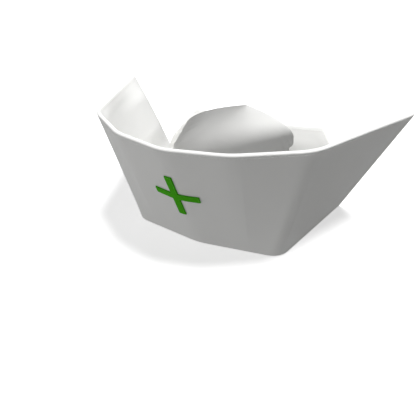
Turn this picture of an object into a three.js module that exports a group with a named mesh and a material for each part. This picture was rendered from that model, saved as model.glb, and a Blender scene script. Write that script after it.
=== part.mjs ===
// A folded nurse cap: a wide cuff that leans outwards into two standing wings, a puffed crown
// inside it, an upright back flap between the wings and a cross sewn on the front.
// Millimetres, +Z up, wearer's right at -X, front at -Y. It stands on its bottom edge.

import * as THREE from 'three';

// Cuff: the band round the front, with its two wings
const WING_SPAN = 280;
const LOWER_SPAN = 180;
const CUFF_HEIGHT = 102.4;
const WING_REACH = 160.5;
const LOWER_REACH = 122.8;
const FRONT_LEAN = 50.7;
const CUFF_WALL = 3;

// Back flap: the upright panel between the wings, rolled back at its top
const FLAP_HEIGHT = 77;
const FLAP_FOOT = 156;
const FLAP_ROLL = 14;
const FLAP_WALL = 2;
const FLAP_BOW = 5;
const FLAP_DIP = 4;

// Crown: the puffed top over the head
const PUFF_HALF_WIDTH = 53.1;
const PUFF_FRONT_REACH = 64;
const PUFF_REAR_REACH = 14;
const PUFF_TO_FLAP = 17.3;
const PUFF_LEVEL = 75;
const PUFF_RISE = 20.9;
const PUFF_TILT = 0.4;
const PEAK_SHIFT = 19.3;
const TUCK_DEPTH = 8;
const CROWN_WALL = 2;

// Cross sewn on the front of the cuff
const CROSS_HEIGHT = 44.5;
const CROSS_WIDTH = 38.8;
const CROSS_ARM = 6.4;
const CROSS_LEVEL = 63.8;
const CROSS_SHIFT = -2.8;
const CROSS_WALL = 0.8;

// Clearance between pieces that touch
const PIECE_GAP = 0.35;

// The cuff's half outline from the front centre to the end of a wing. Each row is a fold line
// from the bottom edge to the top edge: its place as shares of the half span and of the reach
// of each edge, and how far the soft bend there spreads along each side, as a share of the reach.
const CUFF_FOLDS = [
  { lowAcross: 0, lowBack: 0, lowBend: 0.07, topAcross: 0, topBack: 0, topBend: 0.05 },
  { lowAcross: 0.4, lowBack: 0.0456, lowBend: 0.07, topAcross: 0.3214, topBack: 0.0717, topBend: 0.05 },
  { lowAcross: 0.778, lowBack: 0.088, lowBend: 0.1, topAcross: 0.668, topBack: 0.2854, topBend: 0.08 },
  { lowAcross: 1, lowBack: 1, lowBend: 0, topAcross: 1, topBack: 1, topBend: 0 },
];

// The back flap's levels: its half width as a share of the room between the wings there, and how
// much of its roll it has
const FLAP_LEVELS = [
  { rise: 0, width: 1, roll: 0 },
  { rise: 0.2, width: 1, roll: 0 },
  { rise: 0.43, width: 0.946, roll: 0.02 },
  { rise: 0.532, width: 0.893, roll: 0.1 },
  { rise: 0.61, width: 0.842, roll: 0.19 },
  { rise: 0.815, width: 0.668, roll: 0.53 },
  { rise: 1, width: 0.532, roll: 1 },
];

// The crown's skirt from the bottom edge up to the widest line of the puff: a straight line pulled
// in by the tuck just under the puff. The rise is a share of the widest line's height there.
const SKIRT_LEVELS = [
  { rise: 0, pull: 0 },
  { rise: 0.3, pull: 0 },
  { rise: 0.55, pull: 0 },
  { rise: 0.7, pull: 0.08 },
  { rise: 0.78, pull: 0.3 },
  { rise: 0.84, pull: 0.66 },
  { rise: 0.89, pull: 1 },
  { rise: 0.93, pull: 0.92 },
  { rise: 0.97, pull: 0.45 },
];

// How deep the tuck is round the crown, by the angle from straight ahead: none across the front,
// full at the sides and less at the rear
const TUCK_ROUND = [
  { angle: 0, depth: 0 },
  { angle: 38, depth: 0 },
  { angle: 62, depth: 0.55 },
  { angle: 88, depth: 1 },
  { angle: 130, depth: 0.7 },
  { angle: 180, depth: 0.35 },
];

// The puff from its widest line up to the peak, in shares of its rise and of its outline. Its
// middle moves back as it rises, so that the front is a long slope and the peak is near the rear.
const PUFF_LEVELS = [
  { rise: 0, spread: 1 },
  { rise: 0.12, spread: 0.982 },
  { rise: 0.25, spread: 0.927 },
  { rise: 0.4, spread: 0.82 },
  { rise: 0.56, spread: 0.656 },
  { rise: 0.72, spread: 0.446 },
  { rise: 0.86, spread: 0.232 },
  { rise: 0.95, spread: 0.085 },
];
const OUTLINE_POWER = 2.24;

// Soft gathers round the lower puff: where each lies, by the angle from straight ahead, its half
// width in degrees, and its depth as a share of the puff's half width. Both sides are alike.
const GATHERS = [
  { angle: 22, spread: 8, depth: 0.022 },
  { angle: 48, spread: 8, depth: 0.026 },
  { angle: 76, spread: 8, depth: 0.03 },
  { angle: 112, spread: 9, depth: 0.03 },
  { angle: 150, spread: 10, depth: 0.03 },
];

// Mesh fineness
const LEG_STEPS = 5;
const BEND_STEPS = 4;
const CUFF_ROWS = 5;
const FLAP_ROWS = 12;
const FLAP_COLUMNS = 20;
const CROWN_COLUMNS = 60;
const CROSS_STEP = 4;

// Colours and finish of the cloth
const COTTON = { color: 0xf4f4f2, roughness: 0.85, metalness: 0 };
const GREEN_COTTON = { color: 0x4eb321, roughness: 0.9, metalness: 0 };

const halfSpan = WING_SPAN / 2;
const halfLower = LOWER_SPAN / 2;
const wallLength = Math.hypot(CUFF_HEIGHT, FRONT_LEAN);
const puffAxis = FLAP_FOOT - FLAP_WALL - PUFF_TO_FLAP - PUFF_REAR_REACH;

// A smooth curve through table rows, read at a value of one column
function readTable(rows, key, value, column) {
  const last = rows.length - 1;
  let i = 0;
  while (i < last - 1 && value > rows[i + 1][key]) {
    i += 1;
  }
  const a = rows[i];
  const b = rows[i + 1];
  const step = b[key] - a[key];
  const t = THREE.MathUtils.clamp((value - a[key]) / step, 0, 1);
  const slopeAt = (j) => {
    const before = rows[Math.max(j - 1, 0)];
    const after = rows[Math.min(j + 1, last)];
    return (after[column] - before[column]) / (after[key] - before[key]);
  };
  const t2 = t * t;
  const t3 = t2 * t;
  return (2 * t3 - 3 * t2 + 1) * a[column] + (t3 - 2 * t2 + t) * step * slopeAt(i)
    + (3 * t2 - 2 * t3) * b[column] + (t3 - t2) * step * slopeAt(i + 1);
}

// A plan line through corner points, each corner rounded over its own bend length.
// Every line made from as many corners has as many points, so two lines pair up.
function roundedLine(corners) {
  const line = [corners[0].point.clone()];
  let from = corners[0].point;
  for (let i = 1; i < corners.length; i += 1) {
    const { point, bend } = corners[i];
    const isEnd = i === corners.length - 1;
    const legIn = point.clone().sub(corners[i - 1].point).normalize();
    const start = isEnd ? point : point.clone().addScaledVector(legIn, -bend);
    for (let s = 1; s <= LEG_STEPS; s += 1) {
      line.push(from.clone().lerp(start, s / LEG_STEPS));
    }
    if (!isEnd) {
      const legOut = corners[i + 1].point.clone().sub(point).normalize();
      const end = point.clone().addScaledVector(legOut, bend);
      const curve = new THREE.QuadraticBezierCurve(start, point, end);
      for (let s = 1; s <= BEND_STEPS; s += 1) {
        line.push(curve.getPoint(s / BEND_STEPS));
      }
      from = end;
    }
  }
  return line;
}

// One edge of the cuff in plan, from the left wing round the front to the right wing
function cuffEdge(across, back, bend, half, reach, front) {
  const right = CUFF_FOLDS.map((row) => ({
    point: new THREE.Vector2(row[across] * half, front + row[back] * reach),
    bend: row[bend] * reach,
  }));
  const left = right.slice(1).reverse().map((corner) => ({
    point: new THREE.Vector2(-corner.point.x, corner.point.y),
    bend: corner.bend,
  }));
  return roundedLine([...left, ...right]);
}

// Rows of points for the outer face of the cuff, bottom edge first
function cuffOuterRows() {
  const low = cuffEdge('lowAcross', 'lowBack', 'lowBend', halfLower, LOWER_REACH, FRONT_LEAN);
  const top = cuffEdge('topAcross', 'topBack', 'topBend', halfSpan, WING_REACH, 0);
  const rows = [];
  for (let r = 0; r <= CUFF_ROWS; r += 1) {
    const share = r / CUFF_ROWS;
    rows.push(low.map((point, i) => {
      const plan = point.clone().lerp(top[i], share);
      return new THREE.Vector3(plan.x, plan.y, share * CUFF_HEIGHT);
    }));
  }
  return rows;
}

// Unit normals of a grid of points; a round grid joins its last column to its first
function gridNormals(rows, isRound) {
  const lastRow = rows.length - 1;
  const count = rows[0].length;
  return rows.map((row, r) => row.map((_, c) => {
    const up = rows[Math.min(r + 1, lastRow)][c].clone().sub(rows[Math.max(r - 1, 0)][c]);
    const next = isRound ? (c + 1) % count : Math.min(c + 1, count - 1);
    const before = isRound ? (c + count - 1) % count : Math.max(c - 1, 0);
    const along = row[next].clone().sub(row[before]);
    return along.cross(up).normalize();
  }));
}

// The other face of a cloth wall, a wall's thickness behind the given face, with its
// first row slid along the wall on to the level of the bottom edge
function backFace(rows, wall, isRound) {
  const normals = gridNormals(rows, isRound);
  const back = rows.map((row, r) => row.map((p, c) => p.clone().addScaledVector(normals[r][c], -wall)));
  back[0] = back[0].map((point, c) => {
    const along = back[1][c].clone().sub(point);
    return point.clone().addScaledVector(along, -point.z / along.z);
  });
  return back;
}

// A closed mesh from a list of points and triangles, turned so that its faces point out
function closedGeometry(points, triangles) {
  let volume = 0;
  for (const [a, b, c] of triangles) {
    volume += points[a].dot(points[b].clone().cross(points[c]));
  }
  const faces = volume > 0 ? triangles : triangles.map(([a, b, c]) => [a, c, b]);
  const geometry = new THREE.BufferGeometry();
  geometry.setAttribute('position', new THREE.Float32BufferAttribute(points.flatMap((p) => p.toArray()), 3));
  geometry.setIndex(faces.flat());
  geometry.computeVertexNormals();
  return geometry;
}

// The solid between two faces of a cloth wall. A round wall closes on itself, and a peak closes
// its top on each face; an open wall gets edges all round.
function wallSolid(front, back, { isRound = false, peaks = null } = {}) {
  const count = front[0].length;
  const lastRow = front.length - 1;
  const points = [...front.flat(), ...back.flat()];
  const at = (face, r, c) => face * front.length * count + r * count + (c % count);
  const triangles = [];
  const quad = (a, b, c, d) => triangles.push([a, b, c], [a, c, d]);
  const cells = isRound ? count : count - 1;
  for (let c = 0; c < cells; c += 1) {
    for (let r = 0; r < lastRow; r += 1) {
      quad(at(0, r, c), at(0, r, c + 1), at(0, r + 1, c + 1), at(0, r + 1, c));
      quad(at(1, r, c), at(1, r + 1, c), at(1, r + 1, c + 1), at(1, r, c + 1));
    }
    quad(at(0, 0, c), at(1, 0, c), at(1, 0, c + 1), at(0, 0, c + 1));
    if (peaks) {
      triangles.push([at(0, lastRow, c), at(0, lastRow, c + 1), points.length]);
      triangles.push([at(1, lastRow, c), points.length + 1, at(1, lastRow, c + 1)]);
    } else {
      quad(at(0, lastRow, c), at(0, lastRow, c + 1), at(1, lastRow, c + 1), at(1, lastRow, c));
    }
  }
  if (!isRound) {
    for (let r = 0; r < lastRow; r += 1) {
      quad(at(0, r, 0), at(0, r + 1, 0), at(1, r + 1, 0), at(1, r, 0));
      quad(at(0, r, count - 1), at(1, r, count - 1), at(1, r + 1, count - 1), at(0, r + 1, count - 1));
    }
  }
  return closedGeometry(peaks ? [...points, ...peaks] : points, triangles);
}

const cuffOuter = cuffOuterRows();
const cuffInner = backFace(cuffOuter, CUFF_WALL, false);

// The plan line of a face of the cuff at a height
function cuffLineAt(rows, height) {
  return rows[0].map((_, c) => {
    let r = 0;
    while (r < rows.length - 2 && rows[r + 1][c].z < height) {
      r += 1;
    }
    const low = rows[r][c];
    const high = rows[r + 1][c];
    return low.clone().lerp(high, (height - low.z) / (high.z - low.z));
  });
}

// Half of the room between the wings, at a distance back and a height
function roomBetweenWings(back, height) {
  const line = cuffLineAt(cuffInner, height);
  const right = line.slice(Math.floor(line.length / 2));
  let i = 0;
  while (i < right.length - 2 && right[i + 1].y < back) {
    i += 1;
  }
  const a = right[i];
  const b = right[i + 1];
  return THREE.MathUtils.mapLinear(back, a.y, b.y, a.x, b.x);
}

// A point of the back flap: across from -1 to 1, rise from 0 to 1, at a depth into its wall
function flapPoint(across, rise, depth) {
  const inward = 1 - across * across;
  const height = rise * (FLAP_HEIGHT - FLAP_DIP * inward * rise);
  const edgeBack = FLAP_FOOT + FLAP_ROLL * readTable(FLAP_LEVELS, 'rise', rise, 'roll') - depth;
  const halfWidth = (roomBetweenWings(edgeBack, height) - PIECE_GAP)
    * readTable(FLAP_LEVELS, 'rise', rise, 'width');
  return new THREE.Vector3(across * halfWidth, edgeBack + FLAP_BOW * inward * (1 - rise), height);
}

function flapRows(depth) {
  const rows = [];
  for (let r = 0; r <= FLAP_ROWS; r += 1) {
    const row = [];
    for (let c = 0; c <= FLAP_COLUMNS; c += 1) {
      row.push(flapPoint((2 * c) / FLAP_COLUMNS - 1, r / FLAP_ROWS, depth));
    }
    rows.push(row);
  }
  return rows;
}

const flapRear = flapRows(0);
const flapFront = flapRows(FLAP_WALL);

// The bottom edge of the crown: the line just inside the cuff and the back flap, as a distance
// from the puff's axis in each direction
const footLine = [
  ...cuffInner[0].filter((point) => point.y < FLAP_FOOT - FLAP_WALL),
  ...flapFront[0].slice().reverse(),
];

function footRadius(angle) {
  const dx = Math.cos(angle);
  const dy = Math.sin(angle);
  let radius = Infinity;
  footLine.forEach((a, i) => {
    const b = footLine[(i + 1) % footLine.length];
    const ex = b.x - a.x;
    const ey = b.y - a.y;
    const cross = dx * ey - dy * ex;
    const t = (a.x * ey - (a.y - puffAxis) * ex) / cross;
    const s = (a.x * dy - (a.y - puffAxis) * dx) / cross;
    if (t > 0 && s >= -1e-9 && s <= 1 + 1e-9) {
      radius = Math.min(radius, t);
    }
  });
  return radius - PIECE_GAP;
}

// The puff's outline at its widest line: a rounded oval, long to the front and short to the rear
function puffRadius(angle) {
  const dx = Math.cos(angle);
  const dy = Math.sin(angle);
  const reach = dy < 0 ? PUFF_FRONT_REACH : PUFF_REAR_REACH;
  const sum = Math.abs(dx / PUFF_HALF_WIDTH) ** OUTLINE_POWER + Math.abs(dy / reach) ** OUTLINE_POWER;
  return sum ** (-1 / OUTLINE_POWER);
}

// The angle from straight ahead, from 0 to 180 degrees on both sides
function angleFromFront(angle) {
  return THREE.MathUtils.radToDeg(Math.acos(THREE.MathUtils.clamp(-Math.sin(angle), -1, 1)));
}

// How much the gathers pull the puff in, at an angle
function gatherPull(angle) {
  return GATHERS.reduce((pull, gather) => {
    const away = (angleFromFront(angle) - gather.angle) / gather.spread;
    return pull + gather.depth * PUFF_HALF_WIDTH * Math.exp(-away * away);
  }, 0);
}

function crownPoint(angle, radius, height, shift = 0) {
  return new THREE.Vector3(radius * Math.cos(angle), puffAxis + shift + radius * Math.sin(angle), height);
}

function crownRows() {
  const angles = Array.from({ length: CROWN_COLUMNS }, (_, c) => (2 * Math.PI * c) / CROWN_COLUMNS);
  const widestLevel = (angle) => PUFF_LEVEL + PUFF_TILT * puffRadius(angle) * Math.sin(angle);
  const skirt = SKIRT_LEVELS.map(({ rise, pull }) => angles.map((angle) => {
    const straight = THREE.MathUtils.lerp(footRadius(angle), puffRadius(angle), rise);
    const tuck = TUCK_DEPTH * readTable(TUCK_ROUND, 'angle', angleFromFront(angle), 'depth');
    const radius = straight - pull * tuck - rise ** 4 * gatherPull(angle);
    return crownPoint(angle, radius, rise * widestLevel(angle));
  }));
  const puff = PUFF_LEVELS.map(({ rise, spread }) => angles.map((angle) => {
    const radius = spread * puffRadius(angle) - (1 - rise) ** 2 * spread * gatherPull(angle);
    const tilt = PUFF_TILT * spread * puffRadius(angle) * Math.sin(angle);
    return crownPoint(angle, radius, PUFF_LEVEL + PUFF_RISE * rise + tilt, PEAK_SHIFT * rise);
  }));
  return [...skirt, ...puff];
}

const crownOuter = crownRows();
const crownInner = backFace(crownOuter, CROWN_WALL, true);
const crownPeak = new THREE.Vector3(0, puffAxis + PEAK_SHIFT, PUFF_LEVEL + PUFF_RISE);
const crownPeakInside = crownPeak.clone().setZ(crownPeak.z - CROWN_WALL);

// A point on the front of the cuff at a distance across and a length up the wall, lifted off it
function onFront(across, up, lift) {
  const at = (x, share) => {
    const line = cuffLineAt(cuffOuter, share * CUFF_HEIGHT);
    const i = Math.max(1, line.findIndex((point) => point.x > x));
    const a = line[i - 1];
    const b = line[i];
    return a.clone().lerp(b, (x - a.x) / (b.x - a.x));
  };
  const share = up / wallLength;
  const point = at(across, share);
  const reach = CROSS_ARM / 2;
  const along = at(across + reach, share).sub(at(across - reach, share));
  const rise = at(across, share + reach / wallLength).sub(at(across, share - reach / wallLength));
  return point.addScaledVector(along.cross(rise).normalize(), lift);
}

// The places between two ends that cut a length into equal steps no longer than the cross's step
function steps(from, to) {
  const count = Math.max(1, Math.ceil((to - from) / CROSS_STEP));
  return Array.from({ length: count }, (_, i) => from + ((to - from) * i) / count);
}

// The cross: the cells of a grid that lie in its upright or its bar, as one thin solid on the wall
function crossGeometry() {
  const half = CROSS_ARM / 2;
  const lines = (reach) => [...steps(-reach, -half), ...steps(-half, half), ...steps(half, reach), reach];
  const xs = lines(CROSS_WIDTH / 2);
  const ups = lines(CROSS_HEIGHT / 2);
  const inCross = (c, r) => {
    if (c < 0 || r < 0 || c > xs.length - 2 || r > ups.length - 2) {
      return false;
    }
    const x = (xs[c] + xs[c + 1]) / 2;
    const up = (ups[r] + ups[r + 1]) / 2;
    return Math.abs(x) < half || Math.abs(up) < half;
  };
  const points = [];
  const known = new Map();
  const corner = (face, c, r) => {
    const key = `${face} ${c} ${r}`;
    if (!known.has(key)) {
      known.set(key, points.length);
      const lift = PIECE_GAP + (face ? CROSS_WALL : 0);
      points.push(onFront(CROSS_SHIFT + xs[c], CROSS_LEVEL + ups[r], lift));
    }
    return known.get(key);
  };
  const triangles = [];
  const quad = (a, b, c, d) => triangles.push([a, b, c], [a, c, d]);
  const side = (c0, r0, c1, r1) => quad(
    corner(0, c0, r0), corner(0, c1, r1), corner(1, c1, r1), corner(1, c0, r0),
  );
  for (let c = 0; c < xs.length - 1; c += 1) {
    for (let r = 0; r < ups.length - 1; r += 1) {
      if (inCross(c, r)) {
        quad(corner(1, c, r), corner(1, c + 1, r), corner(1, c + 1, r + 1), corner(1, c, r + 1));
        quad(corner(0, c, r), corner(0, c, r + 1), corner(0, c + 1, r + 1), corner(0, c + 1, r));
        if (!inCross(c, r - 1)) {
          side(c, r, c + 1, r);
        }
        if (!inCross(c, r + 1)) {
          side(c + 1, r + 1, c, r + 1);
        }
        if (!inCross(c - 1, r)) {
          side(c, r + 1, c, r);
        }
        if (!inCross(c + 1, r)) {
          side(c + 1, r, c + 1, r + 1);
        }
      }
    }
  }
  return closedGeometry(points, triangles);
}

function piece(name, geometry, finish) {
  const mesh = new THREE.Mesh(geometry, new THREE.MeshStandardMaterial(finish));
  mesh.name = name;
  return mesh;
}

const cap = new THREE.Group();
cap.add(piece('cuff', wallSolid(cuffOuter, cuffInner), COTTON));
cap.add(piece('back_flap', wallSolid(flapFront, flapRear), COTTON));
cap.add(piece('crown', wallSolid(crownOuter, crownInner, {
  isRound: true,
  peaks: [crownPeak, crownPeakInside],
}), COTTON));
cap.add(piece('cross', crossGeometry(), GREEN_COTTON));

// The origin is under the middle of the cap, on the surface that it stands on
const box = new THREE.Box3().setFromObject(cap);
const centre = box.getCenter(new THREE.Vector3());
cap.position.set(-centre.x, -centre.y, -box.min.z);

export default cap;
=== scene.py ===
# %% [markdown]
# # A folded nurse cap in starched cotton
#
# The cap is four pieces of cloth: a wide cuff that leans outwards into two wings, a puffed crown
# over the hair, a back flap that stands between the wings, and a green cross sewn on the front.
# The solid model already holds their sizes and places, so the first step loads it and keeps it
# fixed. Each cloth piece is then made again here with a fine surface that stands for its solid.

# %% Load the solid model
import math

import bpy
import numpy as np
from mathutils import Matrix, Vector


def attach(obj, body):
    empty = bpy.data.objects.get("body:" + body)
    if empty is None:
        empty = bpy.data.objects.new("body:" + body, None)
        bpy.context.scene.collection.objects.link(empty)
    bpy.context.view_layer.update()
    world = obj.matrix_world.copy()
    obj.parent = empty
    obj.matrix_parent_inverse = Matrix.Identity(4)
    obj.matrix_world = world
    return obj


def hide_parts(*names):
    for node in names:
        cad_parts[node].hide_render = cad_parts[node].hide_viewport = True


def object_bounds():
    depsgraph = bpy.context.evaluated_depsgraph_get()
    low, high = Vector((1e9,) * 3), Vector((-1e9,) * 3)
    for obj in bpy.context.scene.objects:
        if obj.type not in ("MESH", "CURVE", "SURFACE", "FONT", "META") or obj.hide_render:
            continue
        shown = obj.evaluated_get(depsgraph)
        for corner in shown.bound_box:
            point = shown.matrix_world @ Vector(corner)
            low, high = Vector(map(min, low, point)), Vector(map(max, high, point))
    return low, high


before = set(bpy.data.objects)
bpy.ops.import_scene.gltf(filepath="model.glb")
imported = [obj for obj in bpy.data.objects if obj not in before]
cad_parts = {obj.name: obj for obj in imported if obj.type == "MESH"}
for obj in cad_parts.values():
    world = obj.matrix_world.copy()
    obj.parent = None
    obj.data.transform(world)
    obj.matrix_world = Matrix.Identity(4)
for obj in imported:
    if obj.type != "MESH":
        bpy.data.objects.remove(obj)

cad_low, cad_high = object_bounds()
print("Solid model, metres:", [round(v, 4) for v in cad_low], [round(v, 4) for v in cad_high])

# %% [markdown]
# ## Sizes
#
# These are the cap's own sizes in millimetres, seen as its maker would cut and fold it: X across
# with the wearer's left at +X, Y to the back from the top front edge, Z up from the surface that
# the cap stands on. The tables hold shares of these sizes, so each row reads as one fold line or
# one level of the cloth.

# %% Sizes in millimetres
MM = 0.001
WING_SPAN = 280
LOWER_SPAN = 180
CUFF_HEIGHT = 102.4
WING_REACH = 160.5
LOWER_REACH = 122.8
FRONT_LEAN = 50.7
CUFF_WALL = 3
FLAP_HEIGHT = 77
FLAP_FOOT = 156
FLAP_ROLL = 14
FLAP_WALL = 2
FLAP_BOW = 5
FLAP_DIP = 4
PUFF_HALF_WIDTH = 53.1
PUFF_FRONT_REACH = 64
PUFF_REAR_REACH = 14
PUFF_TO_FLAP = 17.3
PUFF_LEVEL = 75
PUFF_RISE = 20.9
PUFF_TILT = 0.4
PEAK_SHIFT = 19.3
TUCK_DEPTH = 8
CROWN_WALL = 2
CROSS_HEIGHT = 44.5
CROSS_WIDTH = 38.8
CROSS_ARM = 6.4
CROSS_LEVEL = 63.8
CROSS_SHIFT = -2.8
CROSS_WALL = 0.8
PIECE_GAP = 0.35
WALL_LENGTH = math.hypot(CUFF_HEIGHT, FRONT_LEAN)
PUFF_AXIS = FLAP_FOOT - FLAP_WALL - PUFF_TO_FLAP - PUFF_REAR_REACH

# %% Tables of folds and levels
CUFF_FOLDS = [
    dict(
        low_across=0, low_back=0, low_bend=0.07,
        top_across=0, top_back=0, top_bend=0.05,
    ),
    dict(
        low_across=0.4, low_back=0.0456, low_bend=0.07,
        top_across=0.3214, top_back=0.0717, top_bend=0.05,
    ),
    dict(
        low_across=0.778, low_back=0.088, low_bend=0.1,
        top_across=0.668, top_back=0.2854, top_bend=0.08,
    ),
    dict(
        low_across=1, low_back=1, low_bend=0,
        top_across=1, top_back=1, top_bend=0,
    ),
]
FLAP_LEVELS = [
    dict(rise=0, width=1, roll=0),
    dict(rise=0.2, width=1, roll=0),
    dict(rise=0.43, width=0.946, roll=0.02),
    dict(rise=0.532, width=0.893, roll=0.1),
    dict(rise=0.61, width=0.842, roll=0.19),
    dict(rise=0.815, width=0.668, roll=0.53),
    dict(rise=1, width=0.532, roll=1),
]
SKIRT_LEVELS = [
    dict(rise=0, pull=0),
    dict(rise=0.3, pull=0),
    dict(rise=0.55, pull=0),
    dict(rise=0.7, pull=0.08),
    dict(rise=0.78, pull=0.3),
    dict(rise=0.84, pull=0.66),
    dict(rise=0.89, pull=1),
    dict(rise=0.93, pull=0.92),
    dict(rise=0.97, pull=0.45),
    dict(rise=1, pull=0),
]
TUCK_ROUND = [
    dict(angle=0, depth=0),
    dict(angle=38, depth=0),
    dict(angle=62, depth=0.55),
    dict(angle=88, depth=1),
    dict(angle=130, depth=0.7),
    dict(angle=180, depth=0.35),
]
PUFF_LEVELS = [
    dict(rise=0, spread=1),
    dict(rise=0.12, spread=0.982),
    dict(rise=0.25, spread=0.927),
    dict(rise=0.4, spread=0.82),
    dict(rise=0.56, spread=0.656),
    dict(rise=0.72, spread=0.446),
    dict(rise=0.86, spread=0.232),
    dict(rise=0.95, spread=0.085),
    dict(rise=1, spread=0),
]
OUTLINE_POWER = 2.24
GATHERS = [
    dict(angle=22, spread=8, depth=0.022),
    dict(angle=48, spread=8, depth=0.026),
    dict(angle=76, spread=8, depth=0.03),
    dict(angle=112, spread=9, depth=0.03),
    dict(angle=150, spread=10, depth=0.03),
]


# %% [markdown]
# ## Reading the tables
#
# A table gives only a few levels. A smooth curve through its rows gives the cloth between them,
# so one table serves a coarse solid and a fine surface alike.

# %% Smooth curve through table rows
def read_table(rows, key, value, column):
    keys = np.array([row[key] for row in rows], float)
    values = np.array([row[column] for row in rows], float)
    order = np.arange(len(keys))
    before = np.maximum(order - 1, 0)
    after = np.minimum(order + 1, len(keys) - 1)
    slopes = (values[after] - values[before]) / (keys[after] - keys[before])
    i = np.clip(np.searchsorted(keys, value, side="left") - 1, 0, len(keys) - 2)
    step = keys[i + 1] - keys[i]
    t = np.clip((value - keys[i]) / step, 0, 1)
    start = (2 * t**3 - 3 * t**2 + 1) * values[i] + (t**3 - 2 * t**2 + t) * step * slopes[i]
    end = (3 * t**2 - 2 * t**3) * values[i + 1] + (t**3 - t**2) * step * slopes[i + 1]
    return start + end


def smooth_step(value, start, end):
    t = np.clip((value - start) / (end - start), 0, 1)
    return t * t * (3 - 2 * t)


# %% [markdown]
# ## Cloth as a thin closed shell
#
# Pressed cloth has two faces and a soft round edge where it is folded over. A grid of points gives
# the face that shows, and a second grid lies a wall's thickness behind it. Near the edges the two
# come together on a quarter of an ellipse and share their last points, so the shell is closed and
# its edge catches the light as a fold does.

# %% Normals and shells
EDGE_STEPS = (0, 0.03, 0.12, 0.27, 0.5, 0.76, 1)


def grid_normals(grid, is_round=False):
    if is_round:
        along = np.roll(grid, -1, axis=1) - np.roll(grid, 1, axis=1)
    else:
        along = np.gradient(grid, axis=1)
    up = np.gradient(grid, axis=0)
    normal = np.cross(along, up)
    return normal / np.linalg.norm(normal, axis=2, keepdims=True)


def refined_steps(length, edge, step):
    """Places along a length, close together where both ends are rounded."""
    ends = edge * np.array(EDGE_STEPS)
    middle = np.linspace(edge, length - edge, max(2, round((length - 2 * edge) / step)) + 1)
    return np.concatenate([ends[:-1], middle, (length - ends[:-1])[::-1]])


def rounding(distance, edge):
    """Share of the full thickness at a distance from a rounded edge."""
    away = 1 - np.clip(distance / edge, 0, 1)
    return np.sqrt(1 - away * away)


def shell_mesh(front, back, is_round=False, peaks=None):
    """Points and faces of a closed shell between two grids that share their edge points."""
    rows, columns = front.shape[:2]
    near = np.arange(rows * columns).reshape(rows, columns)
    far = near + rows * columns
    far[0] = near[0]
    if peaks is None:
        far[-1] = near[-1]
    if not is_round:
        far[:, 0] = near[:, 0]
        far[:, -1] = near[:, -1]
    points = np.concatenate([front.reshape(-1, 3), back.reshape(-1, 3)])
    if is_round:
        near = np.concatenate([near, near[:, :1]], axis=1)
        far = np.concatenate([far, far[:, :1]], axis=1)
    quads = np.stack([near[:-1, :-1], near[:-1, 1:], near[1:, 1:], near[1:, :-1]], axis=-1)
    behind = np.stack([far[:-1, :-1], far[1:, :-1], far[1:, 1:], far[:-1, 1:]], axis=-1)
    faces = quads.reshape(-1, 4).tolist() + behind.reshape(-1, 4).tolist()
    if peaks is not None:
        top, under = len(points), len(points) + 1
        points = np.concatenate([points, peaks])
        for a, b, c, d in zip(near[-1, :-1], near[-1, 1:], far[-1, :-1], far[-1, 1:]):
            faces += [[int(a), int(b), top], [int(d), int(c), under]]
    return points, faces


def on_cloth(grid, rows, columns):
    """Points between the rows and columns of a grid."""
    i = np.clip(rows.astype(int), 0, grid.shape[0] - 2)
    j = np.clip(columns.astype(int), 0, grid.shape[1] - 2)
    s, t = (rows - i)[..., None], (columns - j)[..., None]
    near = grid[i, j] * (1 - t) + grid[i, j + 1] * t
    far = grid[i + 1, j] * (1 - t) + grid[i + 1, j + 1] * t
    return near * (1 - s) + far * s


def make_piece(name, points, faces, grain):
    """A smooth mesh from points in millimetres; grain is each point's place on the flat cloth."""
    used, order = np.unique([i for face in faces for i in face], return_inverse=True)
    corners = iter(order.tolist())
    faces = [[next(corners) for _ in face] for face in faces]
    placed = points[used] + np.array([0, TO_ORIGIN, 0])
    mesh = bpy.data.meshes.new(name)
    mesh.from_pydata((placed * MM).tolist(), [], faces)
    layer = mesh.uv_layers.new(name="grain")
    corner_points = np.empty(len(mesh.loops), int)
    mesh.loops.foreach_get("vertex_index", corner_points)
    layer.data.foreach_set("uv", (grain[used][corner_points] * MM).ravel())
    mesh.polygons.foreach_set("use_smooth", np.ones(len(mesh.polygons), bool))
    piece = bpy.data.objects.new(name, mesh)
    bpy.context.scene.collection.objects.link(piece)
    print(f"{name}: {len(mesh.vertices)} points, {len(mesh.polygons)} faces")
    return piece


# %% [markdown]
# ## Stitches
#
# Every hem is held by a row of short stitches, and the cross has a border of close ones. A stitch
# is a bit of thread that dives into the cloth at both ends, so each is drawn as a small closed
# lens, half sunk in the cloth. The thread is 0.25 mm thick; it is drawn twice as thick here, since
# the real one would be lost in the picture.

# %% Rows of stitches
THREAD = 0.5
RING_SIDES = 6
SHOULDER = 0.28
NUDGE = 0.1


def run_along(path):
    """The way along a path to each of its points."""
    return np.concatenate([[0], np.cumsum(np.linalg.norm(np.diff(path, axis=0), axis=1))])


def stitch_shape():
    """One stitch of unit length along X, as points and faces."""
    turn = 2 * np.pi * np.arange(RING_SIDES) / RING_SIDES
    ring = np.stack([0 * turn, np.cos(turn) / 2, np.sin(turn) / 2], axis=-1)
    rings = [ring - (SHOULDER, 0, 0), ring + (SHOULDER, 0, 0)]
    points = np.concatenate([[(-0.5, 0, 0)], *rings, [(0.5, 0, 0)]])
    faces = []
    for i in range(RING_SIDES):
        a, b = 1 + i, 1 + (i + 1) % RING_SIDES
        c, d, tip = b + RING_SIDES, a + RING_SIDES, 1 + 2 * RING_SIDES
        faces += [[0, a, b, b], [a, d, c, b], [d, tip, tip, c]]
    return points, np.array(faces)


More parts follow.
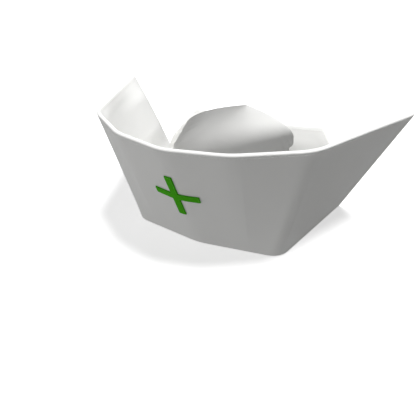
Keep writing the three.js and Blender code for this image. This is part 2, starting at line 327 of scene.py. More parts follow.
def sew(name, path, normals, pitch, length, across=False):
    """A row of stitches along a path on the cloth, or side by side across it."""
    run = run_along(path)
    middle = np.arange(pitch / 2, run[-1], pitch)

    def at(values, place):
        return np.stack([np.interp(place, run, values[:, axis]) for axis in range(3)], axis=-1)

    centre, up = at(path, middle), at(normals, middle)
    along = at(path, middle + NUDGE) - at(path, middle - NUDGE)
    up = up / np.linalg.norm(up, axis=1, keepdims=True)
    side = np.cross(up, along)
    side = side / np.linalg.norm(side, axis=1, keepdims=True)
    along = np.cross(side, up)
    if across:
        along, side = side, -along
    shape, faces = stitch_shape()
    shape = shape * (length, THREAD, THREAD)
    frames = np.stack([along, side, up], axis=1)
    points = centre[:, None] + np.einsum("pk,nkc->npc", shape, frames)
    all_faces = (faces[None] + len(shape) * np.arange(len(centre))[:, None, None]).reshape(-1, 4)
    all_faces = [list(dict.fromkeys(face)) for face in all_faces.tolist()]
    return make_piece(name, points.reshape(-1, 3), all_faces, np.zeros((len(centre) * len(shape), 2)))


# %% [markdown]
# ## The cuff's folded wall
#
# On the real cap the cuff is a band of doubled cotton, starched and pressed, whose lower edge is
# turned up to the outside. It could be draped by simulation, but starched cotton keeps the folds
# that the iron gave it. So it is drawn as straight rulings between a lower and an upper edge line,
# with a soft bend at each pressed fold.

# %% Edge lines of the cuff
LEG_STEPS = 44
BEND_STEPS = 12


def rounded_line(points, bends):
    """A plan line through corners, each rounded over its own bend length."""
    line = [points[0]]
    start_of_leg = points[0]
    for i in range(1, len(points)):
        corner = points[i]
        is_end = i == len(points) - 1
        leg_in = (corner - points[i - 1]) / np.linalg.norm(corner - points[i - 1])
        start = corner if is_end else corner - leg_in * bends[i]
        line += [start_of_leg + (start - start_of_leg) * s / LEG_STEPS for s in range(1, LEG_STEPS + 1)]
        if not is_end:
            leg_out = (points[i + 1] - corner) / np.linalg.norm(points[i + 1] - corner)
            end = corner + leg_out * bends[i]
            for s in range(1, BEND_STEPS + 1):
                t = s / BEND_STEPS
                line.append((1 - t) ** 2 * start + 2 * t * (1 - t) * corner + t * t * end)
            start_of_leg = end
    return np.array(line)


def cuff_edge(edge, half, reach, front):
    across = [row[edge + "_across"] * half for row in CUFF_FOLDS]
    back = [front + row[edge + "_back"] * reach for row in CUFF_FOLDS]
    right = [np.array(point) for point in zip(across, back)]
    bends = [row[edge + "_bend"] * reach for row in CUFF_FOLDS]
    left = [point * (-1, 1) for point in right[:0:-1]]
    return rounded_line(left + right, bends[:0:-1] + bends)


low_line = cuff_edge("low", LOWER_SPAN / 2, LOWER_REACH, FRONT_LEAN)
top_line = cuff_edge("top", WING_SPAN / 2, WING_REACH, 0)
TO_ORIGIN = cad_low.y / MM - top_line[:, 1].min()
print("Cuff edge lines:", len(low_line), "points; origin", round(-TO_ORIGIN, 2), "mm behind the front")

# %% Outer face of the cuff
EDGE_ROUND = 1.5
CUFF_STEP = 2.5
REAR_LEG = np.linalg.norm(top_line[0] - top_line[LEG_STEPS])


def line_at(line, places):
    """Points of a plan line at places given in its own steps."""
    steps = np.arange(len(line))
    return np.stack([np.interp(places, steps, line[:, axis]) for axis in (0, 1)], axis=-1)


def cuff_places():
    """Columns of the cuff in steps of its edge lines, close together at both wing ends."""
    ends = np.array(EDGE_STEPS[:-1]) * EDGE_ROUND / REAR_LEG * LEG_STEPS
    last = len(low_line) - 1
    first_inside = EDGE_ROUND / REAR_LEG * LEG_STEPS
    inside = np.concatenate([[first_inside], np.arange(1, last), [last - first_inside]])
    return np.concatenate([ends, inside, (last - ends)[::-1]])


def cuff_face(places, heights):
    """The outer face at columns and at lengths up the wall."""
    low = line_at(low_line, places)
    top = line_at(top_line, places)
    share = (heights / WALL_LENGTH)[:, None, None]
    plan = low + (top - low) * share
    level = np.broadcast_to(share * CUFF_HEIGHT, plan.shape[:2] + (1,))
    return np.concatenate([plan, level], axis=2)


cuff_columns = cuff_places()
cuff_heights = refined_steps(WALL_LENGTH, EDGE_ROUND, CUFF_STEP)
cuff_outer = cuff_face(cuff_columns, cuff_heights)
along_top = run_along(line_at(top_line, cuff_columns))
along_low = run_along(line_at(low_line, cuff_columns))
print("Cuff top edge", round(along_top[-1]), "mm, bottom edge", round(along_low[-1]), "mm")

# %% [markdown]
# ### Hem and pressed creases
#
# The upper edge and the ends of the wings are hemmed: the cloth is turned in twice, so it is fuller
# there. The turned-in ends of the wings stand off the wall as a soft roll, fullest above half
# height. The fullness goes to the inside, and the outer face keeps its line. At each front corner
# the iron left a sharp fold and a shallow valley beside it. Each pair of numbers is where a form
# starts and where it is full, in millimetres from the foot, the rim or the end. A hem of this
# kind is sewn close to the edge, so one row of stitches shows on both faces.

# %% Thickness and pressing
HEM_DEPTH = 12
HEM_FULLNESS = 0.4
HEM_EDGE = 2.5
END_ROLL = 6
END_ROLL_CREST = 25
END_ROLL_BACK = 80
CREASE_DEPTH = 2.6
CREASE_ROLL = 15
CREASE_FLARE = 40
CREASE_FROM_FOLD = 7.5
WAVE_HEIGHT = 0.35
WAVE_ALONG = 61
WAVE_UP = 47
WAVE_SLANT = 143
WAVE_SHIFT = 0.7
RIPPLE_SHARE = 0.5
RIPPLE_ALONG = 29
RIPPLE_UP = 71
ROLL_FROM_FOOT = (34, 62)
ROLL_FROM_RIM = (0, 24)
WAVE_FROM_FOOT = (5, 35)
WAVE_FROM_END = (15, 45)
CREASE_FROM_FOOT = (0, 25)
CREASE_FROM_RIM = (0, 12)
LEVEL_FOOT = 25
STITCH_TO_EDGE = 3
STITCH_PITCH = 2.8
STITCH_LENGTH = 2.1
STITCH_FOOT = 6
PATH_STEP = 1


def crease_valley():
    """Depth below the plain wall at both front corners, for each column."""
    # The right corner is the fifth fold from the left end: five legs and four and a half bends on.
    corner = 5 * LEG_STEPS + 4.5 * BEND_STEPS
    depth = 0
    for side, place in ((1, corner), (-1, len(low_line) - 1 - corner)):
        fold = np.interp(place, cuff_columns, along_top) + side * CREASE_FROM_FOLD
        past = side * (along_top - fold)
        reach = np.where(past < 0, CREASE_ROLL, CREASE_FLARE)
        depth = depth + CREASE_DEPTH * np.clip(1 - np.abs(past) / reach, 0, 1) ** 2
    return depth


def cuff_shell():
    to_end = np.minimum(along_top, along_top[-1] - along_top)[None, :]
    to_rim = (WALL_LENGTH - cuff_heights)[:, None]
    up = cuff_heights[:, None]
    hem = 1 - smooth_step(to_rim, HEM_DEPTH - HEM_EDGE, HEM_DEPTH)
    rising = 1 - np.clip(1 - to_end / END_ROLL_CREST, 0, 1) ** 2
    end_roll = rising * (1 - smooth_step(to_end, END_ROLL_CREST, END_ROLL_BACK))
    standing_off = smooth_step(up, *ROLL_FROM_FOOT) * smooth_step(to_rim, *ROLL_FROM_RIM)
    wall = CUFF_WALL + HEM_FULLNESS * hem + END_ROLL * end_roll * standing_off
    edge = np.minimum(np.minimum(to_end, to_rim), up)
    half = wall / 2 * rounding(edge, EDGE_ROUND)
    normals = grid_normals(cuff_outer)
    along = along_top[None, :]
    wave = np.sin(along / WAVE_ALONG + WAVE_SHIFT) * np.sin(up / WAVE_UP + along / WAVE_SLANT)
    wave = wave + RIPPLE_SHARE * np.sin(along / RIPPLE_ALONG - up / RIPPLE_UP)
    calm = smooth_step(up, *WAVE_FROM_FOOT) * smooth_step(to_end, *WAVE_FROM_END)
    crease = smooth_step(up, *CREASE_FROM_FOOT) * smooth_step(to_rim, *CREASE_FROM_RIM)
    crease = crease_valley()[None, :] * crease
    pressed = cuff_outer + normals * (WAVE_HEIGHT * wave * calm - crease)[..., None]
    front = pressed - normals * (wall / 2 - half)[..., None]
    back = pressed - normals * (wall / 2 + half)[..., None]
    slope = np.diff(cuff_outer, axis=0)[:1]
    slope = slope / slope[..., 2:]
    fade = (1 - smooth_step(up, 0, LEVEL_FOOT))[..., None]

    def levelled(face):
        """A face moved along its slope, so that its foot stays on the table."""
        depth = ((cuff_outer - face) * normals).sum(axis=2, keepdims=True)
        return face + slope * (normals[..., 2:] * depth) * fade

    return levelled(front), levelled(back)


cuff_front, cuff_back = cuff_shell()
cuff_points, cuff_faces = shell_mesh(cuff_front, cuff_back)
cuff_grain = np.stack(np.meshgrid(along_top, cuff_heights), axis=-1).reshape(-1, 2)
cuff = make_piece("cuff_cloth", cuff_points, cuff_faces, np.concatenate([cuff_grain, cuff_grain]))
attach(cuff, "root")
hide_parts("cuff")

# %% Stitches of the cuff's hem


def hem_path(widths, heights):
    """Rows and columns of a stitch line up one end, along the rim and down the other end."""
    low, high = STITCH_TO_EDGE, heights[-1] - STITCH_TO_EDGE
    right = widths[-1] - STITCH_TO_EDGE
    up = np.arange(STITCH_FOOT, high, PATH_STEP)
    along = np.arange(low, right, PATH_STEP)
    places = np.concatenate([0 * up + low, along, 0 * up + right])
    levels = np.concatenate([up, 0 * along + high, up[::-1]])
    rows = np.interp(levels, heights, np.arange(len(heights)))
    return rows, np.interp(places, widths, np.arange(len(widths)))


def hem_stitches(name, grid, facing, rows, columns):
    normals = on_cloth(grid_normals(grid) * facing, rows, columns)
    return sew(name, on_cloth(grid, rows, columns), normals, STITCH_PITCH, STITCH_LENGTH)


cuff_hem = hem_path(along_top, cuff_heights)
cuff_stitches = [
    hem_stitches("cuff_hem_stitches", cuff_front, 1, *cuff_hem),
    hem_stitches("cuff_hem_stitches_inside", cuff_back, -1, *cuff_hem),
]

# %% [markdown]
# ## The back flap
#
# The flap is a hemmed panel that closes the back of the cap. It stands between the wings, as wide
# as the room between their inner faces, bows out a little at its foot and rolls back at its top.

# %% Room between the wings
ROOM_COLUMNS = np.linspace(len(low_line) // 2, len(low_line) - 1, 400)
ROOM_HEIGHTS = np.linspace(0, WALL_LENGTH, 40)


def cuff_inner_face():
    outer = cuff_face(ROOM_COLUMNS, ROOM_HEIGHTS)
    inner = outer - CUFF_WALL * grid_normals(outer)
    slope = inner[1] - inner[0]
    inner[0] -= slope * (inner[0, :, 2:] / slope[:, 2:])
    return inner


inner_face = cuff_inner_face()


def room_between_wings(back, height):
    """Half of the room between the wings at distances back and heights."""
    levels = inner_face[:, 0, 2]
    widths = np.array([np.interp(back, row[:, 1], row[:, 0]) for row in inner_face])
    row = np.clip(np.searchsorted(levels, height) - 1, 0, len(levels) - 2)
    low = np.take_along_axis(widths, row[None], axis=0)[0]
    high = np.take_along_axis(widths, row[None] + 1, axis=0)[0]
    return low + (high - low) * (height - levels[row]) / (levels[row + 1] - levels[row])


# %% Shape of the flap
FLAP_HEM_DEPTH = 8
FLAP_FULLNESS = 0.6
FLAP_STEP = 2.5
FLAP_EDGE = 0.9


def flap_face(across, rise, depth):
    inward = 1 - across * across
    height = rise * (FLAP_HEIGHT - FLAP_DIP * inward * rise)
    edge_back = FLAP_FOOT + FLAP_ROLL * read_table(FLAP_LEVELS, "rise", rise, "roll") - depth
    half = room_between_wings(edge_back, height) - PIECE_GAP
    half = half * read_table(FLAP_LEVELS, "rise", rise, "width")
    return np.stack([across * half, edge_back + FLAP_BOW * inward * (1 - rise), height], axis=-1)


foot_width = 2 * room_between_wings(np.array([FLAP_FOOT]), np.array([0.0]))[0]
across_mm = refined_steps(foot_width, FLAP_EDGE, FLAP_STEP)
rise_mm = refined_steps(FLAP_HEIGHT, FLAP_EDGE, FLAP_STEP)


def flap_shell():
    across, rise = np.meshgrid(2 * across_mm / foot_width - 1, rise_mm / FLAP_HEIGHT)
    face = flap_face(across, rise, FLAP_WALL / 2)
    width = read_table(FLAP_LEVELS, "rise", rise, "width") * foot_width
    to_side = (1 - np.abs(across)) * width / 2
    to_top = (1 - rise) * FLAP_HEIGHT
    edge = np.minimum(np.minimum(to_side, to_top), rise * FLAP_HEIGHT)
    hem = 1 - smooth_step(np.minimum(to_side, to_top), FLAP_HEM_DEPTH - HEM_EDGE, FLAP_HEM_DEPTH)
    half = (FLAP_WALL + FLAP_FULLNESS * hem) / 2 * rounding(edge, FLAP_EDGE)
    normals = grid_normals(face)
    normals[0] = (0, -1, 0)
    grain = np.stack([across * width / 2, rise * FLAP_HEIGHT], axis=-1).reshape(-1, 2)
    return face + normals * half[..., None], face - normals * half[..., None], grain


flap_front, flap_rear, flap_grain = flap_shell()
flap_points, flap_faces = shell_mesh(flap_front, flap_rear)
flap = make_piece("back_flap_cloth", flap_points, flap_faces, np.concatenate([flap_grain, flap_grain]))
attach(flap, "root")
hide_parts("back_flap")
flap_hem = hem_path(across_mm, rise_mm)
flap_stitches = [
    hem_stitches("flap_hem_stitches", flap_front, 1, *flap_hem),
    hem_stitches("flap_hem_stitches_behind", flap_rear, -1, *flap_hem),
]

# %% [markdown]
# ## The crown
#
# The crown is one soft panel, gathered into a straight skirt that goes down inside the cuff. It
# puffs out over a tuck at the sides and the rear, and slopes down to the front. Its outline is a
# rounded oval, long to the front and short to the rear. The tuck draws the cloth into fine gathers
# that fade up the puff. The foot is sewn in between the cuff and the flap, so here it laps them.

# %% Outlines of the crown
CROWN_COLUMNS = 360
SKIRT_ROWS = 20
TUCK_ROWS = 27
PUFF_ROWS = 34
TUCK_START = 0.66
TUCK_NEXT = 0.675
FOOT_STEPS = 60
FINE_GATHERS = 38
FINE_DEPTH = 0.55
FINE_WANDER = 1.3
SEAM_LAP = 0.3


def angle_from_front(angle):
    return np.degrees(np.arccos(np.clip(-np.sin(angle), -1, 1)))


def puff_radius(angle):
    across, back = np.cos(angle), np.sin(angle)
    reach = np.where(back < 0, PUFF_FRONT_REACH, PUFF_REAR_REACH)
    total = np.abs(across / PUFF_HALF_WIDTH) ** OUTLINE_POWER + np.abs(back / reach) ** OUTLINE_POWER
    return total ** (-1 / OUTLINE_POWER)


def gather_pull(angle):
    around = angle_from_front(angle)
    pulls = [g["depth"] * np.exp(-(((around - g["angle"]) / g["spread"]) ** 2)) for g in GATHERS]
    return PUFF_HALF_WIDTH * sum(pulls)


def foot_radius(angle):
    """From the puff's axis to the line just inside the cuff and the back flap."""
    right = inner_face[0][inner_face[0, :, 1] < FLAP_FOOT - FLAP_WALL][:, :2]
    across = np.linspace(1, -1, FOOT_STEPS)
    rear = flap_face(across, np.zeros(FOOT_STEPS), FLAP_WALL)[:, :2]
    line = np.concatenate([right, rear, (right * (-1, 1))[::-1]]) - (0, PUFF_AXIS)
    bearing = np.unwrap(np.arctan2(line[:, 1], line[:, 0]))
    wrapped = np.mod(angle - bearing[0], 2 * np.pi) + bearing[0]
    order = np.argsort(bearing)
    bearing, line = bearing[order], line[order]
    bearing = np.append(bearing, bearing[0] + 2 * np.pi)
    line = np.concatenate([line, line[:1]])
    i = np.clip(np.searchsorted(bearing, wrapped) - 1, 0, len(bearing) - 2)
    a, b = line[i], line[i + 1]
    e = b - a
    dx, dy = np.cos(angle), np.sin(angle)
    return (a[:, 0] * e[:, 1] - a[:, 1] * e[:, 0]) / (dx * e[:, 1] - dy * e[:, 0]) + SEAM_LAP


# %% Shape of the crown
def crown_face():
    angle = 2 * np.pi * np.arange(CROWN_COLUMNS) / CROWN_COLUMNS
    foot, puff = foot_radius(angle), puff_radius(angle)
    tuck = TUCK_DEPTH * read_table(TUCK_ROUND, "angle", angle_from_front(angle), "depth")
    fine = np.sin(FINE_GATHERS * angle + FINE_WANDER * np.sin(3 * angle))
    gathers = gather_pull(angle) + FINE_DEPTH * fine * tuck / TUCK_DEPTH
    back = np.sin(angle)
    skirt_rise = np.concatenate([
        np.array(EDGE_STEPS[:-1]) * CROWN_WALL / 2 / PUFF_LEVEL,
        np.linspace(CROWN_WALL / 2 / PUFF_LEVEL, TUCK_START, SKIRT_ROWS),
        np.linspace(TUCK_NEXT, 1, TUCK_ROWS)[:-1],
    ])[:, None]
    radius = foot + (puff - foot) * skirt_rise
    radius = radius - read_table(SKIRT_LEVELS, "rise", skirt_rise, "pull") * tuck
    radius = radius - skirt_rise**4 * gathers
    level = skirt_rise * (PUFF_LEVEL + PUFF_TILT * puff * back)
    puff_rise = np.sin(np.linspace(0, np.pi / 2, PUFF_ROWS)[:-1])[:, None]
    spread = read_table(PUFF_LEVELS, "rise", puff_rise, "spread")
    puff_size = spread * puff - (1 - puff_rise) ** 2 * spread * gathers
    puff_level = PUFF_LEVEL + PUFF_RISE * puff_rise + PUFF_TILT * spread * puff * back
    radius = np.concatenate([radius, puff_size])
    level = np.concatenate([level, puff_level])
    middle = PUFF_AXIS + PEAK_SHIFT * np.concatenate([0 * skirt_rise, puff_rise])
    return np.stack([radius * np.cos(angle), middle + radius * back, level], axis=-1)


def crown_shell():
    face = crown_face()
    normals = grid_normals(face, is_round=True)
    climb = np.linalg.norm(np.diff(face, axis=0), axis=2)
    up = np.concatenate([np.zeros((1, CROWN_COLUMNS)), np.cumsum(climb, axis=0)])
    half = CROWN_WALL / 2 * rounding(up, CROWN_WALL / 2)
    front = face - normals * (CROWN_WALL / 2 - half)[..., None]
    back = face - normals * (CROWN_WALL / 2 + half)[..., None]
    for grid in (front, back):
        grid[..., 2] = np.maximum(grid[..., 2], 0)
    peak = np.array([0, PUFF_AXIS + PEAK_SHIFT, PUFF_LEVEL + PUFF_RISE])
    from_peak = up[-1:] - up + np.linalg.norm(face[-1] - peak, axis=1)
    angle = 2 * np.pi * np.arange(CROWN_COLUMNS) / CROWN_COLUMNS
    grain = np.stack([from_peak * np.cos(angle), from_peak * np.sin(angle)], axis=-1).reshape(-1, 2)
    return front, back, np.array([peak, peak - (0, 0, CROWN_WALL)]), grain


crown_front, crown_back, crown_peaks, crown_grain = crown_shell()
crown_points, crown_faces = shell_mesh(crown_front, crown_back, is_round=True, peaks=crown_peaks)
crown_grains = np.concatenate([crown_grain, crown_grain, np.zeros((2, 2))])
crown = make_piece("crown_cloth", crown_points, crown_faces, crown_grains)
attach(crown, "root")
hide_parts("crown")

# %% [markdown]
# ## The cross
#
# The cross is cut from green cotton and sewn flat on the front of the cuff. It follows the wall,
# and its edge is worked over with close stitches that stand a little above the cloth.

# %% Shape of the cross
CROSS_STEP = 0.8
CROSS_EDGE = 0.7
MIDDLE_LINES = 7


def on_front(across, up, lift):
    """Points on the front of the cuff, lifted off it along its own normal."""
    steps = np.arange(cuff_front.shape[1])
    rows = np.interp(up, cuff_heights, np.arange(len(cuff_heights)))
    places = np.array([np.interp(across, row[:, 0], steps) for row in cuff_front])
    low = rows.astype(int)[None]
    below = np.take_along_axis(places, low, axis=0)[0]
    above = np.take_along_axis(places, low + 1, axis=0)[0]
    columns = below + (above - below) * (rows - low[0])
    normals = on_cloth(grid_normals(cuff_front), rows, columns)
    return on_cloth(cuff_front, rows, columns) + normals * lift[..., None]


def cross_lines(reach):
    half = CROSS_ARM / 2
    ends = CROSS_EDGE * np.array(EDGE_STEPS)
    arm = np.linspace(half + CROSS_EDGE, reach - CROSS_EDGE, round((reach - half) / CROSS_STEP))
    middle = np.linspace(-half + CROSS_EDGE, half - CROSS_EDGE, MIDDLE_LINES)
    right = np.concatenate([half + ends[1:-1], arm, (reach - ends[:-1])[::-1]])
    inside = np.concatenate([-half + ends[:-1], middle, (half - ends[:-1])[::-1]])
    return np.unique(np.round(np.concatenate([-right[::-1], inside, right]), 6))


def inside_cross(x, up):
    """Distance to the edge of the cross, positive inside it."""
    half = CROSS_ARM / 2
    in_upright = np.minimum(half - np.abs(x), CROSS_HEIGHT / 2 - np.abs(up))
    in_bar = np.minimum(half - np.abs(up), CROSS_WIDTH / 2 - np.abs(x))
    return np.maximum(in_upright, in_bar)


def cross_piece():
    x, up = np.meshgrid(cross_lines(CROSS_WIDTH / 2), cross_lines(CROSS_HEIGHT / 2))
    edge = inside_cross(x, up)
    rise = CROSS_WALL * rounding(np.maximum(edge, 0), CROSS_EDGE)
    top = on_front(CROSS_SHIFT + x, CROSS_LEVEL + up, PIECE_GAP + rise)
    under = on_front(CROSS_SHIFT + x, CROSS_LEVEL + up, np.full(x.shape, float(PIECE_GAP)))
    near = np.arange(x.size).reshape(x.shape)
    far = np.where(edge > 1e-6, near + x.size, near)
    filled = inside_cross((x[1:, 1:] + x[:-1, :-1]) / 2, (up[1:, 1:] + up[:-1, :-1]) / 2) > 0
    quads = np.stack([near[:-1, :-1], near[:-1, 1:], near[1:, 1:], near[1:, :-1]], axis=-1)[filled]
    behind = np.stack([far[:-1, :-1], far[1:, :-1], far[1:, 1:], far[:-1, 1:]], axis=-1)[filled]
    points = np.concatenate([top.reshape(-1, 3), under.reshape(-1, 3)])
    grain = np.stack([x, up], axis=-1).reshape(-1, 2)
    faces = quads.tolist() + behind.tolist()
    return make_piece("cross_cloth", points, faces, np.concatenate([grain, grain]))


cross = cross_piece()
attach(cross, "root")
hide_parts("cross")

# %% Satin stitches along the edge of the cross
SATIN_LENGTH = 1.5
SATIN_PITCH = 0.55
SATIN_INSET = 0.8
SATIN_SUNK = 0.1
SIDE_POINTS = 24


def cross_outline(inset):
    half, wide, tall = CROSS_ARM / 2 - inset, CROSS_WIDTH / 2 - inset, CROSS_HEIGHT / 2 - inset
    quarter = [(wide, -half), (wide, half), (half, half), (half, tall)]
    corners = quarter + [(-x, y) for x, y in quarter[::-1]] + [(-x, -y) for x, y in quarter]
    corners = np.array(corners + [(x, -y) for x, y in quarter[::-1]])
    share = np.linspace(0, 1, SIDE_POINTS)[None, :, None]
    after = np.roll(corners, -1, axis=0)
    return (corners[:, None] * (1 - share) + after[:, None] * share).reshape(-1, 2)


border = cross_outline(SATIN_INSET)
border_across, border_up = CROSS_SHIFT + border[:, 0], CROSS_LEVEL + border[:, 1]
on_wall = on_front(border_across, border_up, np.zeros(len(border)))
border_lift = np.full(len(border), PIECE_GAP + CROSS_WALL - SATIN_SUNK)
border_path = on_front(border_across, border_up, border_lift)
satin = sew(
    "cross_satin_border", border_path, border_path - on_wall, SATIN_PITCH, SATIN_LENGTH, across=True
)
for row in cuff_stitches + flap_stitches:
    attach(row, "root")
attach(satin, "root")

# %% [markdown]
# ## The cloth as it was cut
#
# Each piece is cut flat before it is folded or gathered. The cuff is a long band, wider at its
# rim, folded at its corners. The flap is a panel that narrows to its top. The crown is an oval
# that is drawn in at its edge, and its size is the way from the peak down to the foot all round.
# Notches cut from its corners, as deep as the skirt, leave an edge that gathers by a third.
# The cross is cut a little larger than it shows, since its border stitches take in the raw edge.

# %% Flat sizes
TAKEN_IN = 0.3
GATHERED = 1.3


def declare_sheet(piece, width, length, held, area, with_pieces=()):
    print(f"{piece.name}: cut {width:.0f} by {length:.0f} mm, {area / 100:.0f} square centimetres")


band = (along_top[-1] + along_low[-1]) / 2 * WALL_LENGTH
declare_sheet(cuff, along_top[-1], WALL_LENGTH, "folded", band, cuff_stitches)
panel_widths = read_table(FLAP_LEVELS, "rise", rise_mm / FLAP_HEIGHT, "width") * foot_width
panel = ((panel_widths[1:] + panel_widths[:-1]) / 2 * np.diff(rise_mm)).sum()
declare_sheet(flap, foot_width, FLAP_HEIGHT, "folded", panel, flap_stitches)
oval = crown_grain.reshape(-1, CROWN_COLUMNS, 2)[0]
after = np.roll(oval, -1, axis=0)
oval_area = abs((oval[:, 0] * after[:, 1] - oval[:, 1] * after[:, 0]).sum()) / 2
oval_edge = np.linalg.norm(after - oval, axis=1).sum()
foot_line = crown_front[0, :, :2]
foot_edge = np.linalg.norm(np.roll(foot_line, -1, axis=0) - foot_line, axis=1).sum()
notches = (oval_edge - GATHERED * foot_edge) * PUFF_LEVEL / 2
declare_sheet(crown, *(oval.max(axis=0) - oval.min(axis=0)), "gathered", oval_area - notches)
arm, wide, tall = (size + 2 * TAKEN_IN for size in (CROSS_ARM, CROSS_WIDTH, CROSS_HEIGHT))
declare_sheet(cross, wide, tall, "laid", arm * (wide + tall - arm), [satin])

# %% [markdown]
# ## Materials
#
# Starched cotton is a plain weave of white yarn, about three threads to the millimetre, stiffened
# and ironed. It scatters light evenly, with a faint sheen where the iron has flattened the yarn.
# Real threads are 0.35 mm apart, finer than the picture shows, so the weave is drawn at 1.2 mm.

# %% Colours and nodes
SLUB_SIZE = 6
PATCH_SIZE = 38
THREAD_RELIEF = 0.15
WEAVE_SHARE = 0.5
PATCH_TONES = (0.975, 1.01)
PATCH_DULLNESS = 0.06


def linear(hex_colour):
    """The linear colour of an sRGB hex value."""
    parts = [int(hex_colour[i:i + 2], 16) / 255 for i in (1, 3, 5)]
    return tuple(c / 12.92 if c <= 0.04045 else ((c + 0.055) / 1.055) ** 2.4 for c in parts) + (1,)


def add_node(tree, kind, links=None, **settings):
    """A node with its settings; links names an input socket and the output that feeds it."""
    node = tree.nodes.new(kind)
    for name, value in settings.items():
        if hasattr(node, name):
            setattr(node, name, value)
        else:
            node.inputs[name.replace("_", " ")].default_value = value
    for socket, source in (links or {}).items():
        tree.links.new(source, node.inputs[socket])
    return node


def woven_cotton(name, colour, roughness, gloss=0.3, sheen=0.08, pitch=1.2, relief=0.35):
    """A plain weave on the cloth's own flat coordinates, pressed a little unevenly."""
    material = bpy.data.materials.new(name)
    material.use_nodes = True
    tree = material.node_tree
    shader = tree.nodes["Principled BSDF"]
    shader.inputs["Specular IOR Level"].default_value = gloss
    shader.inputs["Sheen Weight"].default_value = sheen
    flat = add_node(tree, "ShaderNodeUVMap", uv_map="grain").outputs["UV"]
    turned = add_node(tree, "ShaderNodeVectorMath", {0: flat}, operation="SCALE")
    turned.inputs["Scale"].default_value = 2 * math.pi / pitch / MM
    split = add_node(tree, "ShaderNodeSeparateXYZ", {0: turned.outputs[0]})
    warp = add_node(tree, "ShaderNodeMath", {0: split.outputs["X"]}, operation="SINE")
    weft = add_node(tree, "ShaderNodeMath", {0: split.outputs["Y"]}, operation="SINE")
    both = {0: warp.outputs[0], 1: weft.outputs[0]}
    weave = add_node(tree, "ShaderNodeMath", both, operation="MULTIPLY")
    slubs = add_node(tree, "ShaderNodeTexNoise", {"Vector": flat}, Scale=1 / (SLUB_SIZE * MM), Detail=3)
    patches = add_node(tree, "ShaderNodeTexNoise", {"Vector": flat}, Scale=1 / (PATCH_SIZE * MM))
    patches.inputs["Detail"].default_value = 2
    relief_links = {0: weave.outputs[0], 2: slubs.outputs["Fac"]}
    height = add_node(tree, "ShaderNodeMath", relief_links, operation="MULTIPLY_ADD")
    height.inputs[1].default_value = WEAVE_SHARE
    bump = add_node(tree, "ShaderNodeBump", {"Height": height.outputs[0]}, Distance=THREAD_RELIEF * MM)
    bump.inputs["Strength"].default_value = relief
    tree.links.new(bump.outputs["Normal"], shader.inputs["Normal"])
    tone = add_node(tree, "ShaderNodeMapRange", {"Value": patches.outputs["Fac"]})
    tone.inputs["To Min"].default_value = PATCH_TONES[0]
    tone.inputs["To Max"].default_value = PATCH_TONES[1]
    paint = tree.nodes.new("ShaderNodeMix")
    paint.data_type = "RGBA"
    paint.blend_type = "MULTIPLY"
    tree.links.new(tone.outputs["Result"], paint.inputs["B"])
    paint.inputs["Factor"].default_value = 1
    paint.inputs["A"].default_value = linear(colour)
    tree.links.new(paint.outputs["Result"], shader.inputs["Base Color"])
    dull = add_node(tree, "ShaderNodeMapRange", {"Value": patches.outputs["Fac"]})
    dull.inputs["To Min"].default_value = roughness - PATCH_DULLNESS
    dull.inputs["To Max"].default_value = roughness + PATCH_DULLNESS
    tree.links.new(dull.outputs["Result"], shader.inputs["Roughness"])
    return material


starched_cotton = woven_cotton("starched cotton", "#E8E8E6", 0.8)
green_cotton = woven_cotton("green cotton", "#42A80E", 0.85, gloss=0.08, sheen=0)
for piece in (cuff, flap, crown):
    piece.data.materials.append(starched_cotton)
cross.data.materials.append(green_cotton)
white_thread = woven_cotton("white cotton thread", "#EDEDEB", 0.7)
green_thread = woven_cotton("green satin thread", "#48AC12", 0.7, gloss=0.15, sheen=0)
for row in cuff_stitches + flap_stitches:
    row.data.materials.append(white_thread)
satin.data.materials.append(green_thread)

# %% [markdown]
# ## Light, floor and camera
#
# The cap stands on a pale lit table, which keeps its shadow faint. The room is brighter at the
# front left, so the wall darkens to the right. A lamp overhead makes the faces that look up
# bright and leaves the outward leaning wall in soft shade. The crown has a low lamp of its own
# from the right, so the right wing shades its near end. The flap has a weak one from the front.
# The lamps are flagged, as in a studio: each reaches only the pieces that it is meant for.

# %% World and lights
SKY = 0.21
GLOW = 0.39
BRIGHT_SIDE = (-0.53, -0.85, 0)
KEY = 3.9
KEY_SPREAD = 18
KEY_WAY = (-0.3, 0, -1.3)
FLAP_LAMP = 0.8
FLAP_LAMP_SPREAD = 30
FLAP_LAMP_WAY = (0, 0.6, -0.8)
CROWN_KEY = 6.6
CROWN_KEY_SPREAD = 9
CROWN_KEY_WAY = (-0.9696, 0.0678, -0.2351)
world = bpy.data.worlds.new("studio")
bpy.context.scene.world = world
world.use_nodes = True
room = world.node_tree
around = add_node(room, "ShaderNodeTexCoord").outputs["Generated"]
facing = add_node(room, "ShaderNodeVectorMath", {0: around}, operation="DOT_PRODUCT")
facing.inputs[1].default_value = BRIGHT_SIDE
glow = add_node(room, "ShaderNodeMapRange", {"Value": facing.outputs["Value"]})
glow.inputs["To Min"].default_value = SKY
glow.inputs["To Max"].default_value = SKY + GLOW
room.nodes["Background"].inputs["Color"].default_value = (1, 1, 1, 1)
room.links.new(glow.outputs["Result"], room.nodes["Background"].inputs["Strength"])
bpy.context.scene.view_settings.view_transform = "Standard"


def sun(name, towards, strength, spread):
    lamp = bpy.data.lights.new(name, "SUN")
    lamp.energy = strength
    lamp.angle = math.radians(spread)
    source = bpy.data.objects.new(name, lamp)
    source.rotation_mode = "QUATERNION"
    source.rotation_quaternion = Vector(towards).to_track_quat("-Z", "Y")
    bpy.context.scene.collection.objects.link(source)
    return source


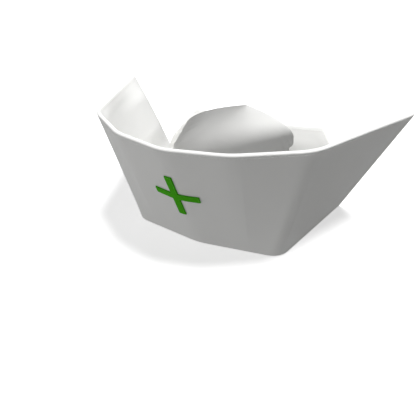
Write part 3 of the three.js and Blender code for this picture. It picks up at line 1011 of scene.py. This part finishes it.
def shine_on(source, *lit):
    """Flags a lamp so that it reaches only the given objects."""
    group = bpy.data.collections.new(source.name + " reaches")
    for thing in lit:
        group.objects.link(thing)
    source.light_linking.receiver_collection = group


# %% Floor with a pale backdrop far behind it on every side
FLOOR_HALF = 12
FLOOR_GLOW = 0.5
floor_mesh = bpy.data.meshes.new("floor")
corners = [(x, y, z) for z in (0, 1) for x, y in ((-1, -1), (1, -1), (1, 1), (-1, 1))]
sides = [(i, i + 4, (i + 1) % 4 + 4, (i + 1) % 4) for i in range(4)]
floor_mesh.from_pydata((FLOOR_HALF * np.array(corners)).tolist(), [], [(0, 1, 2, 3)] + sides)
floor = bpy.data.objects.new("floor", floor_mesh)
bpy.context.scene.collection.objects.link(floor)
floor_paint = bpy.data.materials.new("pale floor")
floor_paint.use_nodes = True
table = floor_paint.node_tree.nodes["Principled BSDF"]
table.inputs["Base Color"].default_value = linear("#E8E8E8")
table.inputs["Emission Color"].default_value = linear("#FFFFFF")
table.inputs["Emission Strength"].default_value = FLOOR_GLOW
floor_mesh.materials.append(floor_paint)
floor.visible_diffuse = False
floor.visible_shadow = False
under_key = [cuff, flap, cross, satin, floor, *cuff_stitches, *flap_stitches]
shine_on(sun("key", KEY_WAY, KEY, KEY_SPREAD), *under_key)
shine_on(sun("flap lamp", FLAP_LAMP_WAY, FLAP_LAMP, FLAP_LAMP_SPREAD), flap, *flap_stitches)
shine_on(sun("crown key", CROWN_KEY_WAY, CROWN_KEY, CROWN_KEY_SPREAD), crown)

# %% Camera
CAMERA_PLACE = (160.3, -228.8, 213.1)
CAMERA_LOOK = (-0.40963, 0.76926, -0.49034)
LENS = 38.67
SENSOR_WIDTH = 36
camera = bpy.data.objects.new("camera", bpy.data.cameras.new("camera"))
bpy.context.scene.collection.objects.link(camera)
camera.location = [(p + shift) * MM for p, shift in zip(CAMERA_PLACE, (0, TO_ORIGIN, 0))]
camera.rotation_mode = "QUATERNION"
camera.rotation_quaternion = Vector(CAMERA_LOOK).to_track_quat("-Z", "Y")
camera.data.lens = LENS
camera.data.sensor_width = SENSOR_WIDTH
bpy.context.scene.camera = camera
